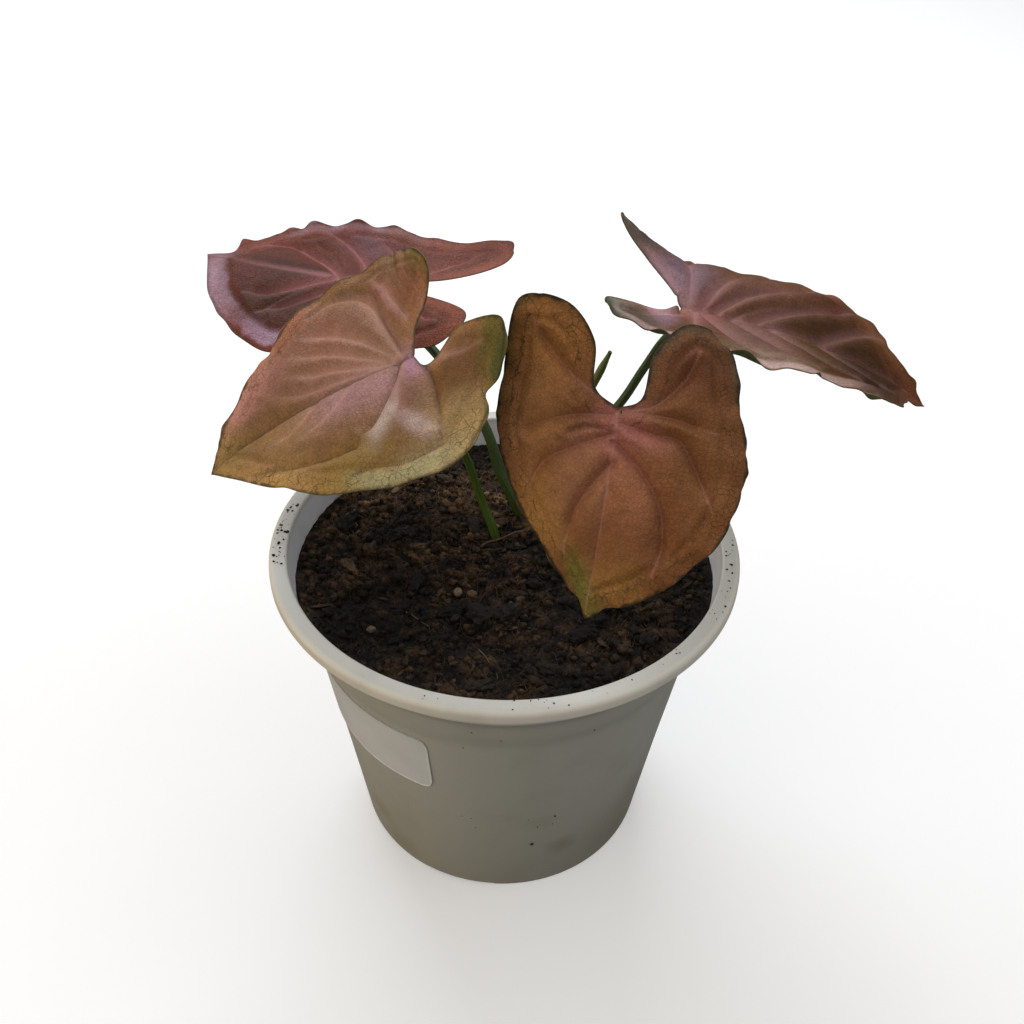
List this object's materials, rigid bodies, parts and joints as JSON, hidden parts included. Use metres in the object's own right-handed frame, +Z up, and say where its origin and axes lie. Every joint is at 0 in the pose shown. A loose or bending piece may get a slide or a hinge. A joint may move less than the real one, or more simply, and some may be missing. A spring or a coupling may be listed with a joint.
{
  "type": "potted syngonium",
  "caption": "Young arrowhead plant with pink heart-shaped leaves on thin petioles, in a round white tapered nursery pot filled with dark soil.",
  "frame": {"origin": "centre of the pot's base pad, on the pot's axis at the surface that it stands on", "axes": "+Z up along the pot's axis, -Y towards the front of the plant, +X to the right seen from the front"},
  "size_m": [0.2342, 0.1755, 0.2093],
  "materials": {
    "pot_plastic": "satin moulded polypropylene, off-white, with specks of soil on the rim and foot",
    "soil": "damp peat and bark potting mix, dark brown, crumbly",
    "label_paper": "blank satin sticker",
    "leaf_mauve": "waxy leaf, mauve pink with a bluish sheen and brown margin",
    "leaf_salmon": "waxy leaf, salmon pink in the middle, fading to olive green at the margin",
    "leaf_terracotta": "waxy leaf, terracotta pink with pale veins and a dark green net at the margin",
    "petiole": "smooth green stem",
    "new_leaf": "rolled young leaf, olive green"
  },
  "bodies": {
    "root": {"pot": "pot_plastic", "soil": "soil", "label": "label_paper", "leaf_back_left": "leaf_mauve", "petiole_back_left": "petiole", "leaf_front_left": "leaf_salmon", "petiole_front_left": "petiole", "leaf_front_right": "leaf_terracotta", "petiole_front_right": "petiole", "leaf_back_right": "leaf_mauve", "petiole_back_right": "petiole", "new_leaf": "new_leaf"}
  },
  "joints": []
}
